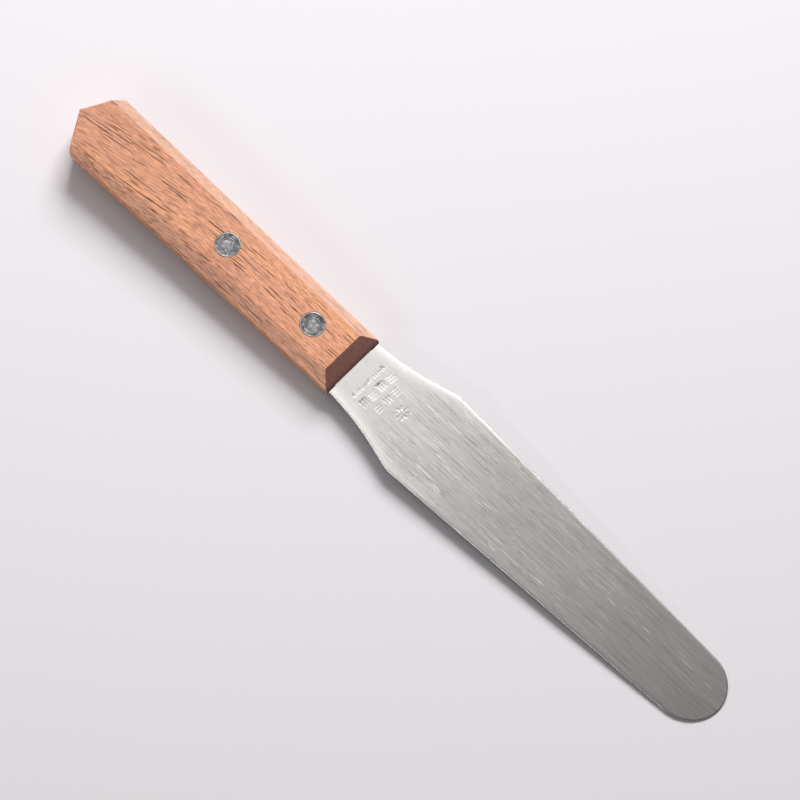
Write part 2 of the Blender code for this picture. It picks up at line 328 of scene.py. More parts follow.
def finish_mesh(name, bm, nodes, material, sharp=SHARP_ANGLE):
    """A piece of the knife from a bmesh, riding on the root body in place of CAD nodes."""
    mesh = to_mesh(name, bm)
    mesh.shade_smooth()
    mesh.set_sharp_from_angle(angle=sharp)
    mesh.materials.append(material)
    piece = bpy.data.objects.new(name, mesh)
    bpy.context.scene.collection.objects.link(piece)
    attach(piece, "root")
    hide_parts(*nodes)
    return piece


def cutter(name, bm):
    return bpy.data.objects.new(name, to_mesh(name, bm))


def cut(piece, tools):
    """Cuts the tools out of a piece, applies that, and removes the tools."""
    for tool in tools:
        bpy.context.scene.collection.objects.link(tool)
        modifier = piece.modifiers.new(tool.name, "BOOLEAN")
        modifier.operation = "DIFFERENCE"
        modifier.solver = "EXACT"
        modifier.object = tool
    apply_modifiers(piece)
    for tool in tools:
        bpy.data.objects.remove(tool, do_unlink=True)


def apply_modifiers(piece):
    depsgraph = bpy.context.evaluated_depsgraph_get()
    finished = bpy.data.meshes.new_from_object(piece.evaluated_get(depsgraph))
    piece.modifiers.clear()
    old = piece.data
    piece.data = finished
    bpy.data.meshes.remove(old)


def prism(outline, bottom, top):
    bm = bmesh.new()
    face = bm.faces.new([bm.verts.new((x, y, bottom)) for x, y in outline])
    grown = bmesh.ops.extrude_face_region(bm, geom=[face])
    risen = [item for item in grown["geom"] if isinstance(item, bmesh.types.BMVert)]
    bmesh.ops.translate(bm, verts=risen, vec=(0, 0, top - bottom))
    return bm


def lathe(profile, turns, centre, wobble=None):
    """A closed (radius, z) profile spun about a vertical axis at centre."""
    bm = bmesh.new()
    rings = []
    for radius, z in profile:
        if radius == 0:
            rings.append([bm.verts.new(centre + Vector((0, 0, z)))] * turns)
            continue
        ring = []
        for turn in range(turns):
            angle = 2 * math.pi * turn / turns
            place = Vector((radius * math.cos(angle), radius * math.sin(angle), z))
            if wobble:
                place = wobble(place)
            ring.append(bm.verts.new(centre + place))
        rings.append(ring)
    for first, second in zip(rings, rings[1:]):
        for turn in range(turns):
            after = (turn + 1) % turns
            loop = [first[turn], first[after], second[after], second[turn]]
            corners = list(dict.fromkeys(loop))
            if len(corners) > 2:
                bm.faces.new(corners)
    return bm


def fillet(before, corner, after, radius):
    """Points of the arc that rounds a corner of an outline."""
    corner = Vector(corner)
    back = (Vector(before) - corner).normalized()
    ahead = (Vector(after) - corner).normalized()
    half_angle = back.angle(ahead) / 2
    centre = corner + (back + ahead).normalized() * (radius / math.sin(half_angle))
    start = corner + back * (radius / math.tan(half_angle)) - centre
    sweep = math.pi - 2 * half_angle
    turn = -1 if back.cross(ahead) > 0 else 1
    count = max(2, math.ceil(sweep / ARC_STEP))
    arc = []
    for step in range(count + 1):
        angle = turn * sweep * step / count
        spoke = Vector((start.x * math.cos(angle) - start.y * math.sin(angle),
                        start.x * math.sin(angle) + start.y * math.cos(angle)))
        arc.append(tuple(centre + spoke))
    return arc


# ---------------------------------------------------------------- blade

def tip_arc(shoulder):
    """A half ellipse at the blade's end that the straight edge runs into without a corner."""
    middle = BLADE_REACH - TIP_LENGTH
    slope = (TIP_WIDTH / 2 - shoulder[1]) / (middle - shoulder[0])
    level = TIP_WIDTH / 2
    half_width = math.sqrt(level ** 2 - (TIP_LENGTH * slope) ** 2)
    start = math.acos(-TIP_LENGTH * slope / level)
    count = math.ceil(start / ARC_STEP)
    return [(middle + TIP_LENGTH * math.cos(start * (1 - step / count)),
             half_width * math.sin(start * (1 - step / count)))
            for step in range(count + 1)]


def spaced(points, step):
    """The outline with points added on its long sides."""
    filled = [points[0]]
    for point in points[1:]:
        last = Vector(filled[-1])
        gap = Vector(point) - last
        count = max(1, round(gap.length / step))
        filled += [tuple(last + gap * part / count) for part in range(1, count + 1)]
    return filled


def blade_edge():
    """The +Y edge of the blade from heel to tip, from the middle of the nose."""
    heel = (HEEL_GAP, HEEL_WIDTH / 2)
    neck = (NECK_LENGTH, NECK_WIDTH / 2)
    shoulder = (SHOULDER_REACH, SHOULDER_WIDTH / 2)
    tip = tip_arc(shoulder)
    return spaced([heel] + fillet(heel, neck, shoulder, NECK_RADIUS)
                  + fillet(neck, shoulder, tip[0], SHOULDER_RADIUS) + tip, BLADE_STEP)


def inset(points, amount):
    """The edge moved inwards, square to itself; its first point keeps its x."""
    moved = []
    for index, point in enumerate(points):
        before = Vector(points[max(0, index - 1)])
        after = Vector(points[min(len(points) - 1, index + 1)])
        if index == len(points) - 1:
            after = Vector((before.x, -before.y))
        along = (after - before).normalized()
        place = Vector(point) + Vector((along.y, -along.x)) * amount
        if index == 0:
            place.x = point[0]
        if index == len(points) - 1:
            place.y = 0.0
        moved.append(place)
    return moved


def blade_half_thickness(x):
    along = clamp(x / BLADE_REACH)
    return (HEEL_THICKNESS + (TIP_THICKNESS - HEEL_THICKNESS) * along) / 2


def hand_polish(x):
    """How much hand polishing there is at a place along the blade, from 0 to 1."""
    return clamp(1 - (x - SHOULDER_REACH) / (POLISH_END - SHOULDER_REACH))


def edge_roll(x, inward):
    """How far hand polishing has rolled the flat down near the edges of the neck."""
    share = max(0.0, 1 - inward / ROLL_WIDTH)
    return ROLL_DROP * hand_polish(x) * share ** 2


def half_width_at(edge, x):
    """Half the blade's width, read off its edge; behind the heel, that of the heel."""
    for (x1, y1), (x2, y2) in zip(edge, edge[1:]):
        if x1 <= x <= x2:
            return y1 + (y2 - y1) * (x - x1) / (x2 - x1)
    return edge[0][1]


def polish_and_highlight_at(edge, x, y):
    """Polish and painted highlight of the edges, from 0 to 1: a thin rim all round, and a wide band
    by the neck.
    """
    inward = half_width_at(edge, x) - abs(y)
    rim = max(0.0, 1 - inward / RIM_WIDTH)
    neck = hand_polish(x) * max(0.0, 1 - inward / POLISH_WIDTH) ** POLISH_POWER
    return max(rim, neck * (NEAR_POLISH_AND_HIGHLIGHT if y < 0 else FAR_POLISH_AND_HIGHLIGHT))


def build_blade(material):
    edge = blade_edge()
    rings = [inset(edge, amount * MM) for amount, _ in EDGE_RINGS]
    inner = rings[-1]
    heel_half = inner[0].y
    tang_share = TANG_WIDTH / 2 / heel_half
    shares = [tang_share * step / TANG_COLUMNS for step in range(TANG_COLUMNS)]
    shares += [tang_share + (1 - tang_share) * step / SIDE_COLUMNS for step in range(SIDE_COLUMNS)]
    rows = []
    for index, middle in enumerate(inner):
        half = blade_half_thickness(middle.x)
        outer = [(rings[ring][index].x, rings[ring][index].y,
                  blade_half_thickness(rings[ring][index].x) - EDGE_RINGS[ring][1] * MM)
                 for ring in range(len(rings))]
        side = []
        for share in shares:
            y = middle.y * share
            side.append((middle.x, y, half - edge_roll(middle.x, middle.y - y)))
        side += [(x, y, z - edge_roll(x, 0)) for x, y, z in reversed(outer)]
        rows.append([(x, -y, z) for x, y, z in reversed(side[1:])] + side)
    tang_rows = []
    end = -TANG_LENGTH
    tang_corner = fillet((end, 0.0), (end, TANG_WIDTH / 2), (0.0, TANG_WIDTH / 2), TANG_END_RADIUS)
    half = blade_half_thickness(0)
    for x, reach in tang_corner:
        side = [(x, reach * step / TANG_COLUMNS, half) for step in range(TANG_COLUMNS + 1)]
        tang_rows.append([(x, -y, z) for x, y, z in reversed(side[1:])] + side)
    bm = bmesh.new()
    top = [[bm.verts.new(place) for place in row] for row in rows]
    margin = (len(rows[0]) - (2 * TANG_COLUMNS + 1)) // 2
    tang = [[bm.verts.new(place) for place in row] for row in tang_rows]
    tang.append(top[0][margin:len(rows[0]) - margin])
    for grid in (top, tang):
        for first, second in zip(grid, grid[1:]):
            for column in range(len(first) - 1):
                bm.faces.new((first[column], second[column], second[column + 1], first[column + 1]))
    bmesh.ops.remove_doubles(bm, verts=bm.verts, dist=MERGE_DISTANCE)
    border = [side for side in bm.edges if side.is_boundary]
    under = {vertex: bm.verts.new((vertex.co.x, vertex.co.y, -vertex.co.z))
             for vertex in list(bm.verts)}
    for face in list(bm.faces):
        bm.faces.new([under[vertex] for vertex in reversed(face.verts)])
    for side in border:
        first, second = side.verts
        bm.faces.new((first, second, under[second], under[first]))
    bmesh.ops.translate(bm, verts=bm.verts, vec=NOSE_CENTRE)
    # how polished each place is, which also paints a highlight into the steel's colour
    polish_and_highlight = bm.verts.layers.float.new("hand_polish")
    for vertex in bm.verts:
        vertex[polish_and_highlight] = polish_and_highlight_at(edge, vertex.co.x - NOSE_X, vertex.co.y)
    layer = bm.loops.layers.uv.new("lengthwise")
    for face in bm.faces:
        for loop in face.loops:
            loop[layer].uv = (loop.vert.co.x / UV_LENGTH, loop.vert.co.y / UV_LENGTH)
    blade = finish_mesh("ground_blade", bm, ["blade"], material,
                        sharp=BLADE_SHARP_ANGLE)
    holes = []
    for name, centre in RIVET_CENTRES.items():
        radius = SHANK_RADIUS + SNUG_GAP
        reach = 2 * HEEL_THICKNESS
        holes.append(cutter(f"{name}_hole", lathe([(0, reach), (radius, reach), (radius, -reach),
                                                  (0, -reach)], RIVET_TURNS, centre)))
    cut(blade, holes + [cutter("stamp", stamp_strokes())])
    blade.data.set_sharp_from_angle(angle=BLADE_SHARP_ANGLE)


def stroke(bm, start, end, surface):
    """A groove between two (x, y) points on the blade, as a long V-shaped wedge."""
    start, end = Vector(start), Vector(end)
    along = (end - start).normalized()
    aside = Vector((-along.y, along.x)) * STROKE_WIDTH / 2
    corners = []
    for place, reach in ((start, -1), (end, 1)):
        tip = place + along * reach * STROKE_WIDTH * STROKE_POINT
        corners.append([bm.verts.new((*(place + aside * 2), surface + STROKE_DEPTH)),
                        bm.verts.new((*(place - aside * 2), surface + STROKE_DEPTH)),
                        bm.verts.new((*place, surface - STROKE_DEPTH)),
                        bm.verts.new((*tip, surface + STROKE_DEPTH))])
    (a, b, c, t), (d, e, f, u) = corners
    for loop in ((a, d, e, b), (a, c, f, d), (b, e, f, c), (a, b, t), (d, u, e),
                 (a, t, c), (b, c, t), (d, f, u), (e, u, f)):
        bm.faces.new(loop)


def stamp_marks():
    """(start, end) of each stroke, in mm: a row of ticks, two rows of basket weave, a ring."""
    marks = []
    for index in range(TICK_COUNT):
        y = (index - TICK_COUNT // 2) * TICK_SPACING
        reach = TICK_REACHES[index % 2]
        marks.append(((TICK_ROW_X - reach, y), (TICK_ROW_X + reach, y)))
    for row, (x, count) in enumerate(WEAVE_ROWS):
        for column in range(count):
            y = (column - (count - 1) / 2) * WEAVE_SPACING
            for step in WEAVE_STEPS:
                if (row + column) % 2:
                    marks.append(((x + step, y - WEAVE_REACH), (x + step, y + WEAVE_REACH)))
                else:
                    marks.append(((x - WEAVE_REACH, y + step), (x + WEAVE_REACH, y + step)))
    for ray in range(SPOKE_COUNT):
        angle = 2 * math.pi * ray / SPOKE_COUNT
        marks.append(tuple((SPOKE_RING_X + radius * math.cos(angle), radius * math.sin(angle))
                           for radius in SPOKE_RADII))
    return marks


def stamp_strokes():
    """The strokes as wedges to cut with; they must not overlap, or the cut fails."""
    bm = bmesh.new()
    for start, end in stamp_marks():
        x = (start[0] + end[0]) / 2 * MM
        surface = MIDDLE_Z + blade_half_thickness(x)
        places = [(NOSE_X + point[0] * MM, point[1] * MM) for point in (start, end)]
        stroke(bm, *places, surface)
    return bm


# ---------------------------------------------------------------- handle

def handle_section(half_width, near_upper_run):
    """Eight (y, z) corners of the bar, counter-clockwise seen from the nose."""
    side = HALF_THICKNESS - BEVEL_RUN
    near_side = HALF_THICKNESS - near_upper_run
    return [(-half_width, -side), (-half_width + BEVEL_RUN, -HALF_THICKNESS),
            (half_width - BEVEL_RUN, -HALF_THICKNESS), (half_width, -side),
            (half_width, side), (half_width - BEVEL_RUN, HALF_THICKNESS),
            (-half_width + near_upper_run, HALF_THICKNESS), (-half_width, near_side)]


def handle_blank():
    """The bevelled bar before its ends are cut, with edges that wander as sanding leaves them."""
    bm = bmesh.new()
    rings = []
    for station in range(HANDLE_STATIONS + 1):
        distance = HANDLE_LENGTH * (1 - station / HANDLE_STATIONS)
        share = min(1.0, distance / (HANDLE_LENGTH - BUTT_DEPTH))
        half_width = (FRONT_WIDTH + (BUTT_WIDTH - FRONT_WIDTH) * share) / 2
        worn = max(0.0, (distance - WORN_BEVEL_START) / (HANDLE_LENGTH - WORN_BEVEL_START))
        run = BEVEL_RUN + (WORN_BEVEL_RUN - BEVEL_RUN) * worn
        ring = []
        for corner, (y, z) in enumerate(handle_section(half_width, run)):
            sample = Vector((distance / WANDER_LENGTH, corner * WANDER_STRIDE, WANDER_LEVEL))
            stray = noise.noise(sample) * HAND_WANDER
            on_flat = abs(y) < half_width - MERGE_DISTANCE
            if on_flat:                      # the corner slides along its flat
                ring.append(bm.verts.new((-distance, y + stray, z)))
            else:                            # the corner slides up or down its side
                ring.append(bm.verts.new((-distance, y, z + stray)))
        rings.append(ring)
    for first, second in zip(rings, rings[1:]):
        for index in range(len(first)):
            after = (index + 1) % len(first)
            bm.faces.new((first[index], first[after], second[after], second[index]))
    bm.faces.new(rings[0])
    bm.faces.new(rings[-1])
    return bm


def saw_off(bm, through, outward):
    """Remove what lies beyond a plane and close the cut."""
    bmesh.ops.bisect_plane(bm, geom=bm.verts[:] + bm.edges[:] + bm.faces[:],
                           plane_co=through, plane_no=outward, clear_outer=True)
    bmesh.ops.holes_fill(bm, edges=[edge for edge in bm.edges if edge.is_boundary])


def edge_radius(edge):
    """How round hand work has left an edge of the handle; none where the faces run on flat."""
    if len(edge.link_faces) != 2 or edge.calc_face_angle() < FLATTEST_EDGE:
        return 0.0
    middle = (edge.verts[0].co + edge.verts[1].co) / 2
    along = (edge.verts[1].co - edge.verts[0].co).normalized()
    if abs(along.x) < LENGTHWISE or middle.x > -FRONT_CHAMFER_RUN:
        if middle.x < -HANDLE_LENGTH / 2:
            return BUTT_EDGE
        return CRISP_EDGE
    if middle.z > 0:
        if middle.y < 0:
            return RUBBED_EDGE + (WORN_EDGE - RUBBED_EDGE) * clamp(-middle.x / HANDLE_LENGTH)
        return CRISP_EDGE
    return SANDED_EDGE


def build_handle(material):
    bm = handle_blank()
    rise = HALF_THICKNESS - NOSE_FLAT / 2
    for side in (1, -1):
        saw_off(bm, (0, 0, side * NOSE_FLAT / 2), (rise, 0, side * FRONT_CHAMFER_RUN))
        across = BUTT_WIDTH / 2 - side * BUTT_POINT_OFFSET
        saw_off(bm, (-HANDLE_LENGTH, BUTT_POINT_OFFSET, 0), (-across, side * BUTT_DEPTH, 0))
    weights = bm.edges.layers.float.new("bevel_weight_edge")
    for edge in bm.edges:
        edge[weights] = edge_radius(edge) / WORN_EDGE
    bmesh.ops.translate(bm, verts=bm.verts, vec=NOSE_CENTRE)
    handle = finish_mesh("shaped_handle", bm, ["handle"], material)
    rounding = handle.modifiers.new("rounding", "BEVEL")
    rounding.limit_method = "WEIGHT"
    rounding.width = WORN_EDGE
    rounding.segments = EDGE_SEGMENTS
    rounding.use_clamp_overlap = True
    apply_modifiers(handle)
    slot_half = HEEL_THICKNESS / 2 + SNUG_GAP
    reach = TANG_WIDTH / 2 + SNUG_GAP
    end = NOSE_X - TANG_LENGTH - SNUG_GAP
    corner = fillet((end, 0.0), (end, reach), (0.0, reach), TANG_END_RADIUS)
    half = corner + [(NOSE_X + CUT_CLEARANCE, reach)]
    outline = half + [(x, -y) for x, y in reversed(half)]
    tools = [cutter("slot", prism(outline, MIDDLE_Z - slot_half, MIDDLE_Z + slot_half))]
    beyond = HALF_THICKNESS + CUT_CLEARANCE
    seat = FLUSH_HEIGHT - HEAD_DEPTH - SNUG_GAP
    wide, narrow = HEAD_RADIUS + SNUG_GAP, SHANK_RADIUS + SNUG_GAP
    for name, centre in RIVET_CENTRES.items():
        profile = [(0, beyond), (wide, beyond), (wide, seat), (narrow, seat),
                   (narrow, -seat), (wide, -seat), (wide, -beyond), (0, -beyond)]
        tools.append(cutter(f"{name}_seat", lathe(profile, RIVET_TURNS, centre)))
    cut(handle, tools)
    handle.data.set_sharp_from_angle(angle=SHARP_ANGLE)
    flats = handle.modifiers.new("flats", "WEIGHTED_NORMAL")
    flats.keep_sharp = True


# ---------------------------------------------------------------- rivets

def hammered(seed):
    """Moves a point of a rivet into the dents left by the blows that closed it."""
    def move(place):
        depth = clamp(1 - (FLUSH_HEIGHT - place.z) / DENT_REACH)
        sample = Vector((place.x, place.y, 0)) / DENT_SIZE + seed * DENT_STRIDE
        dent = noise.noise(sample) * DENT_DEPTH
        edge = clamp((HEAD_RADIUS - place.to_2d().length) / DENT_MARGIN)
        return place - Vector((0, 0, max(0.0, dent + DENT_LEVEL) * depth * edge))
    return move


def mark_rubbed(bm, centre):
    """Paints how bright rubbing keeps each ring of the closed side, from 0 to 1."""
    layer = bm.verts.layers.float.new("rubbed")
    for vertex in bm.verts:
        radius = (vertex.co - centre).to_2d().length / MM
        if vertex.co.z > centre.z:
            rings = [strength * max(0.0, 1 - abs(radius - middle) / half)
                     for middle, half, strength in RUBBED_RINGS]
            vertex[layer] = max(rings + [RUBBED_PIN if radius < RUBBED_PIN_RADIUS else 0.0])


def build_rivets(material):
    base = FLUSH_HEIGHT - HEAD_DEPTH
    for seed, (name, centre) in enumerate(RIVET_CENTRES.items()):
        dents = hammered(seed + 1)
        washer = [(radius * MM, FLUSH_HEIGHT - depth * MM) for radius, depth in WASHER_FACE]
        bore = WASHER_FACE[-1][0] * MM
        closed = washer + [(bore, base), (HEAD_RADIUS, base), washer[0]]
        bm = lathe(closed, RIVET_TURNS, centre, dents)
        bmesh.ops.remove_doubles(bm, verts=bm.verts, dist=MERGE_DISTANCE)
        mark_rubbed(bm, centre)
        finish_mesh(f"{name}_closing_washer", bm, [f"{name}_rivet_washer"], material)
        pin = [(radius * MM, FLUSH_HEIGHT - depth * MM) for radius, depth in reversed(PIN_FACE)]
        head = [(radius * MM, depth * MM - FLUSH_HEIGHT) for radius, depth in HEAD_FACE]
        profile = pin + [(SHANK_RADIUS, -base), (HEAD_RADIUS, -base)] + head
        bm = lathe(profile, RIVET_TURNS, centre, dents)
        mark_rubbed(bm, centre)
        finish_mesh(f"{name}_closed_rivet", bm, [f"{name}_rivet"], material)


# ---------------------------------------------------------------- materials

def rgba(value):
    """A colour, or a grey given as one number, with full alpha."""
    return (*value, 1.0) if isinstance(value, tuple) else (value, value, value, 1.0)


class Nodes:
    """A small wrapper that makes and wires shader nodes."""

    def __init__(self, name):
        self.material = bpy.data.materials.new(name)
        self.material.use_nodes = True
        self.tree = self.material.node_tree
        self.shader = self.tree.nodes["Principled BSDF"]

    def add(self, kind, **settings):
        node = self.tree.nodes.new("ShaderNode" + kind)
        for key, value in settings.items():
            setattr(node, key, value)
        return node

    def wire(self, source, target):
        self.tree.links.new(source, target)

    def set(self, node, **values):
        for key, value in values.items():
            node.inputs[key.replace("_", " ")].default_value = value

    def place(self):
        return self.add("TexCoord").outputs["Object"]

    def stretched(self, source, sizes, turn=0.0, offset=(0, 0, 0)):
        """Coordinates that count in the given sizes (metres), turned about Z."""
        mapping = self.add("Mapping", vector_type="TEXTURE")
        mapping.inputs["Location"].default_value = offset
        mapping.inputs["Rotation"].default_value = (0, 0, turn)
        mapping.inputs["Scale"].default_value = sizes
        self.wire(source, mapping.inputs["Vector"])
        return mapping.outputs["Vector"]

    def noise(self, source, detail=2.0, roughness=0.5):
        node = self.add("TexNoise")
        self.set(node, Scale=1.0, Detail=detail, Roughness=roughness)
        self.wire(source, node.inputs["Vector"])
        return node.outputs["Fac"]

    def ramp(self, source, stops):
        """A colour ramp over (position, colour or grey) stops."""
        node = self.add("ValToRGB")
        elements = node.color_ramp.elements
        while len(elements) < len(stops):
            elements.new(0.5)
        for element, (position, value) in zip(elements, stops):
            element.position = position
            element.color = rgba(value)
        self.wire(source, node.inputs["Fac"])
        return node.outputs["Color"]

    def span(self, source, low, high, to_low=0.0, to_high=1.0):
        """A smooth step from to_low at low to to_high at high."""
        node = self.add("MapRange", interpolation_type="SMOOTHSTEP")
        self.set(node, From_Min=low, From_Max=high, To_Min=to_low, To_Max=to_high)
        self.wire(source, node.inputs["Value"])
        return node.outputs["Result"]

    def maths(self, operation, first, second=None):
        node = self.add("Math", operation=operation)
        for socket, value in zip(node.inputs, (first, second)):
            if value is None:
                continue
            if isinstance(value, (int, float)):
                socket.default_value = value
            else:
                self.wire(value, socket)
        return node.outputs["Value"]

    def blend(self, factor, first, second, kind="MIX"):
        node = self.add("Mix", data_type="RGBA", blend_type=kind)
        for index, value in ((0, factor), (6, first), (7, second)):
            if isinstance(value, bpy.types.NodeSocket):
                self.wire(value, node.inputs[index])
            else:
                node.inputs[index].default_value = rgba(value) if index else value
        return node.outputs[2]

    def shade(self, base, factor):
        """The base colour times a grey, a tint or what a node gives."""
        return self.blend(1.0, base, factor, "MULTIPLY")

    def tint(self, mask, base, factor):
        """As shade, but only as far as the mask says."""
        return self.blend(mask, base, self.shade(base, factor))

    def times(self, first, second):
        return self.maths("MULTIPLY", first, second)

    def bump(self, height, strength, distance):
        node = self.add("Bump")
        self.set(node, Strength=strength, Distance=distance)
        self.wire(height, node.inputs["Height"])
        return node.outputs["Normal"]

    def split(self, vector):
        node = self.add("SeparateXYZ")
        self.wire(vector, node.inputs["Vector"])
        return node.outputs

    def dashes(self, source, layers, blur):
        """Thin pointed marks along X: how far each place is inside one, from 0 to 1."""
        marks = None
        for sizes, reach, offset in layers:
            cells = self.add("TexVoronoi", feature="F1")
            self.set(cells, Scale=1.0, Randomness=1.0)
            self.wire(self.stretched(source, sizes, offset=offset), cells.inputs["Vector"])
            luck = self.add("SeparateColor")
            self.wire(cells.outputs["Color"], luck.inputs["Color"])
            limit = self.times(self.span(luck.outputs[0], *DASH_REACHES), reach)
            inside = self.maths("SUBTRACT", limit, cells.outputs["Distance"])
            layer = self.times(self.span(inside, 0.0, blur),
                               self.span(luck.outputs[1], *DASH_STRENGTHS))
            marks = layer if marks is None else self.maths("MAXIMUM", marks, layer)
        return marks

    def attribute(self, name):
        return self.add("Attribute", attribute_name=name).outputs["Fac"]


def grain_coordinates(m, place):
    """The place along and across the grain, which swings round behind the front rivet."""
    x, y, z = m.split(place)
    behind = m.maths("MAXIMUM", m.maths("SUBTRACT", GRAIN_BEND_START, x), 0.0)
    bend = m.times(m.maths("POWER", behind, GRAIN_BEND_POWER), GRAIN_BEND)
    drift = m.noise(m.stretched(place, DRIFT_SIZE), detail=1.0)
    drift = m.times(m.maths("SUBTRACT", drift, 0.5), GRAIN_DRIFT)
    combine = m.add("CombineXYZ")
    across = m.maths("ADD", m.maths("ADD", y, bend), drift)
    for socket, value in zip(combine.inputs, (x, across, z)):
        m.wire(value, socket)
    return combine.outputs["Vector"]


def wood_pores(m, grain, y):
    """Open pores of several lengths, in loose crowds that are thickest along the near side."""
    pores = m.dashes(grain, PORE_LAYERS, PORE_BLUR)
    crowd = m.noise(m.stretched(grain, CROWD_SIZE), detail=1.0)
    crowd = m.maths("ADD", crowd, m.span(y, *NEAR_CROWDING))
    return m.times(pores, m.span(crowd, *CROWD_SPAN))


def painted_light_and_tints(m, base, place):
    """The wood's colour with painted sheen and light on its bevels and near side, and tints on its
    far side and butt.
    """
    x = m.split(place)[0]
    forward, far, up = m.split(m.add("TexCoord").outputs["Normal"])
    # painted sheen: the long bevels are made paler and whiter, the far ones plainer too
    slope = m.maths("ABSOLUTE", far)
    bevels = m.times(m.span(slope, *BEVELS_FROM), m.span(slope, *BEVELS_TO))
    painted_sheen = m.shade(base, PAINTED_BEVEL_SHEEN)
    painted_sheen = m.blend(m.span(far, *FAR_BEVEL_SPAN), painted_sheen, PAINTED_FAR_BEVEL_SHEEN)
    base = m.blend(bevels, base, painted_sheen)
    # painted light: the near upper bevel is made palest
    near_bevel_light = m.times(m.span(far, *NEAR_BEVEL_SIDEWAYS), m.span(up, *NEAR_BEVEL_UPWARDS))
    base = m.tint(near_bevel_light, base, PAINTED_NEAR_BEVEL_LIGHT)
    # painted light: the near side is made paler towards the butt
    near_side_light = m.times(m.span(far, *NEAR_SIDE_SPAN), m.span(x, *NEAR_SIDE_FADE))
    base = m.tint(near_side_light, base, PAINTED_NEAR_SIDE_LIGHT)
    # the far side is made browner than the rest
    base = m.tint(m.span(far, *FAR_SIDE_SPAN), base, FAR_SIDE_TINT)
    # the corners of the butt are rubbed redder
    butt = m.times(m.span(forward, *BUTT_TO), m.span(forward, *BUTT_FROM))
    return m.tint(butt, base, BUTT_TINT)


def end_grain(m, place):
    """The colour of the cut end at the nose: dark with oil, and darker where it meets the blade
    with painted shade and dirt.
    """
    speckle = m.noise(m.stretched(place, SPECKLE_SIZE), detail=3.0)
    from_blade = m.maths("ABSOLUTE", m.maths("SUBTRACT", m.split(place)[2], MIDDLE_Z))
    shade_and_dirt = m.span(from_blade, *SHADE_AND_DIRT_SPAN)
    return m.shade(m.ramp(speckle, END_GRAIN_TONES), shade_and_dirt)


def wood_material():
    m = Nodes("oiled_red_wood")
    place = m.place()
    x, y, _ = m.split(place)
    grain = grain_coordinates(m, place)
    bands = m.noise(m.stretched(grain, BAND_SIZE), detail=3.0, roughness=0.6)
    fibres = m.noise(m.stretched(grain, FIBRE_SIZE), detail=3.0, roughness=0.65)
    flecks = m.noise(m.stretched(grain, FLECK_SIZE), detail=2.0, roughness=0.6)
    pores = wood_pores(m, grain, y)
    base = m.shade(m.ramp(bands, WOOD_TONES), m.ramp(fibres, FIBRE_SHADES))
    base = m.shade(base, m.ramp(flecks, FLECK_SHADES))
    base = m.shade(base, m.span(x, *LIGHTER_FORWARD))
    base = painted_light_and_tints(m, m.blend(pores, base, PORE_COLOUR), place)
    forward = m.split(m.add("TexCoord").outputs["Normal"])[0]
    ends = m.times(m.span(forward, *END_GRAIN_SPAN), m.span(x, *END_GRAIN_FADE))
    m.wire(m.blend(ends, base, end_grain(m, place)), m.shader.inputs["Base Color"])
    rough = m.blend(pores, m.ramp(fibres, WOOD_ROUGHNESS), PORE_ROUGHNESS)
    m.wire(m.blend(ends, rough, END_GRAIN_ROUGHNESS), m.shader.inputs["Roughness"])
    m.set(m.shader, Specular_IOR_Level=0.5)
    relief = m.maths("SUBTRACT", m.times(m.maths("ADD", fibres, flecks), FIBRE_RELIEF), pores)
    m.wire(m.bump(relief, *WOOD_BUMP), m.shader.inputs["Normal"])
    return m.material


def steel_material():
    m = Nodes("ground_blade_steel")
    place = m.place()
    lines = m.noise(m.stretched(place, LINE_SIZE), detail=3.0, roughness=0.7)
    streaks = m.noise(m.stretched(place, STREAK_SIZE), detail=2.0)
    patches = m.noise(m.stretched(place, PATCH_SIZE), detail=1.0)
    tone = m.shade(m.ramp(lines, LINE_GREYS), m.ramp(streaks, STREAK_SHADES))
    tone = m.shade(tone, m.ramp(patches, PATCH_SHADES))
    x = m.split(place)[0]
    # short nicks cover the middle of the blade and thin out towards the tip
    fading = m.span(x, *NICK_FADE)
    for layers, factor in ((DARK_NICKS, DARK_NICK_SHADE), (BRIGHT_NICKS, BRIGHT_NICK_SHADE)):
        nicks = m.dashes(m.stretched(place, (1, 1, 1), turn=NICK_SLANT), layers, DASH_BLUR)
        tone = m.tint(m.times(nicks, fading), tone, factor)
    # the neck is rubbed smooth, and painted shade darkens the steel towards the tip, where its
    # reflection fades
    tone = m.blend(m.span(x, *RUBBED_FADE), tone, RUBBED_GREY)
    tone = m.shade(tone, m.span(x, *PAINTED_SHADE_FORWARD))
    # longer scratches come in patches
    worn = m.span(m.noise(m.stretched(place, WORN_SIZE), detail=1.0), *WORN_SPAN)
    for layers, slant, grey in ((DARK_SCRATCHES, DARK_SLANT, DARK_SCRATCH_GREY),
                                (BRIGHT_SCRATCHES, BRIGHT_SLANT, BRIGHT_SCRATCH_GREY)):
        scratches = m.dashes(m.stretched(place, (1, 1, 1), turn=slant), layers, DASH_BLUR)
        tone = m.blend(m.times(scratches, worn), tone, grey)
    # polished edges get lower roughness and a painted highlight in their colour
    polish_and_highlight = m.attribute("hand_polish")
    tone = m.blend(polish_and_highlight, tone, PAINTED_EDGE_HIGHLIGHT)
    m.wire(m.shade(tone, STEEL_TINT), m.shader.inputs["Base Color"])
    m.set(m.shader, Metallic=1.0, Anisotropic=0.6, Anisotropic_Rotation=0.25)
    tangent = m.add("Tangent", direction_type="UV_MAP", uv_map="lengthwise")
    m.wire(tangent.outputs["Tangent"], m.shader.inputs["Tangent"])
    rough = m.ramp(lines, STEEL_ROUGHNESS)
    rough = m.blend(m.span(polish_and_highlight, *POLISH_SPAN), rough, POLISHED_ROUGHNESS)
    m.wire(rough, m.shader.inputs["Roughness"])
    m.wire(m.bump(m.maths("ADD", lines, streaks), *STEEL_BUMP), m.shader.inputs["Normal"])
    return m.material


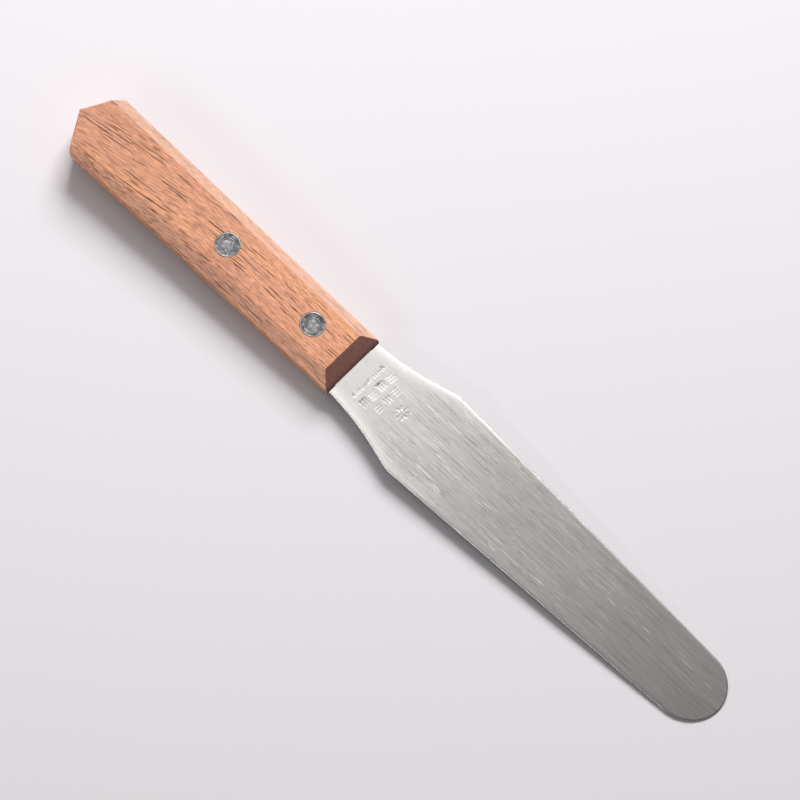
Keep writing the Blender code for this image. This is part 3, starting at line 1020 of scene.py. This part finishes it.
def rivet_material():
    m = Nodes("dull_rivet_metal")
    place = m.place()
    mottle = m.noise(m.stretched(place, MOTTLE_SIZE), detail=3.0, roughness=0.65)
    wear = m.noise(m.stretched(place, WEAR_SIZE), detail=1.0)
    rubbed = m.times(m.attribute("rubbed"), m.span(wear, *WEAR_SPAN))
    colour = m.blend(rubbed, m.ramp(mottle, MOTTLE_TONES), BRIGHT_METAL)
    m.wire(colour, m.shader.inputs["Base Color"])
    m.set(m.shader, Metallic=1.0)
    m.wire(m.ramp(mottle, RIVET_ROUGHNESS), m.shader.inputs["Roughness"])
    m.wire(m.bump(mottle, *RIVET_BUMP), m.shader.inputs["Normal"])
    return m.material


def table_material():
    m = Nodes("pale_table")
    m.set(m.shader, Base_Color=TABLE_COLOUR, Roughness=0.9, Specular_IOR_Level=0.1)
    return m.material


# ---------------------------------------------------------------- table, lights, camera

def direction(azimuth, elevation):
    """Away from the middle: azimuth 0 is -Y and 90 degrees is +X, in the table's frame."""
    return Vector((math.sin(azimuth) * math.cos(elevation),
                   -math.cos(azimuth) * math.cos(elevation), math.sin(elevation)))


def aimed(place, target):
    """A matrix in the table's frame that looks from place to target, with its X level."""
    turn = (target - place).to_track_quat("-Z", "Y").to_matrix().to_4x4()
    return Matrix.Translation(place) @ turn


def softbox(name, size, power, colour=(1, 1, 1)):
    """A rectangular lamp that faces down and that the camera doesn't see."""
    lamp = bpy.data.lights.new(name, "AREA")
    lamp.shape = "RECTANGLE"
    lamp.size, lamp.size_y = size
    lamp.energy = power
    lamp.color = colour
    light = bpy.data.objects.new(name, lamp)
    bpy.context.scene.collection.objects.link(light)
    light.visible_camera = False
    return light


def add_table_light(name, azimuth, elevation, distance, size, power, colour):
    light = softbox(name, size, power, colour)
    place = direction(math.radians(azimuth), math.radians(elevation)) * distance
    light.matrix_world = TABLE @ aimed(place, AIM_POINT)


def add_overhead_softbox():
    """A weak softbox near the handle; its edge mirrors in the blade as the fade from the neck."""
    light = softbox("overhead_softbox", OVERHEAD_SIZE, OVERHEAD_POWER)
    light.location = (OVERHEAD_EDGE_X - OVERHEAD_SIZE[0] / 2, OVERHEAD_Y, OVERHEAD_HEIGHT)


def add_table():
    bm = bmesh.new()
    bmesh.ops.create_circle(bm, cap_ends=True, segments=128, radius=TABLE_RADIUS)
    mesh = bpy.data.meshes.new("table")
    bm.to_mesh(mesh)
    bm.free()
    mesh.materials.append(table_material())
    table = bpy.data.objects.new("table", mesh)
    bpy.context.scene.collection.objects.link(table)
    table.matrix_world = TABLE


def add_world():
    world = bpy.data.worlds.new("pale_studio")
    world.use_nodes = True
    background = world.node_tree.nodes["Background"]
    background.inputs["Color"].default_value = WORLD_COLOUR
    background.inputs["Strength"].default_value = WORLD_STRENGTH
    bpy.context.scene.world = world


def add_camera():
    lens = bpy.data.cameras.new("camera")
    lens.lens = LENS
    lens.clip_start, lens.clip_end = CLIP_RANGE
    camera = bpy.data.objects.new("camera", lens)
    bpy.context.scene.collection.objects.link(camera)
    target = TABLE.inverted() @ VIEW_TARGET
    place = target + direction(VIEW_AZIMUTH, VIEW_ELEVATION) * VIEW_DISTANCE
    camera.matrix_world = TABLE @ aimed(place, target)
    bpy.context.scene.camera = camera


build_blade(steel_material())
build_handle(wood_material())
build_rivets(rivet_material())
add_table()
add_world()
add_table_light("key_softbox", *KEY_LIGHT)
add_table_light("near_fill", *NEAR_FILL)
add_overhead_softbox()
add_camera()
bpy.context.scene.view_settings.view_transform = "Standard"
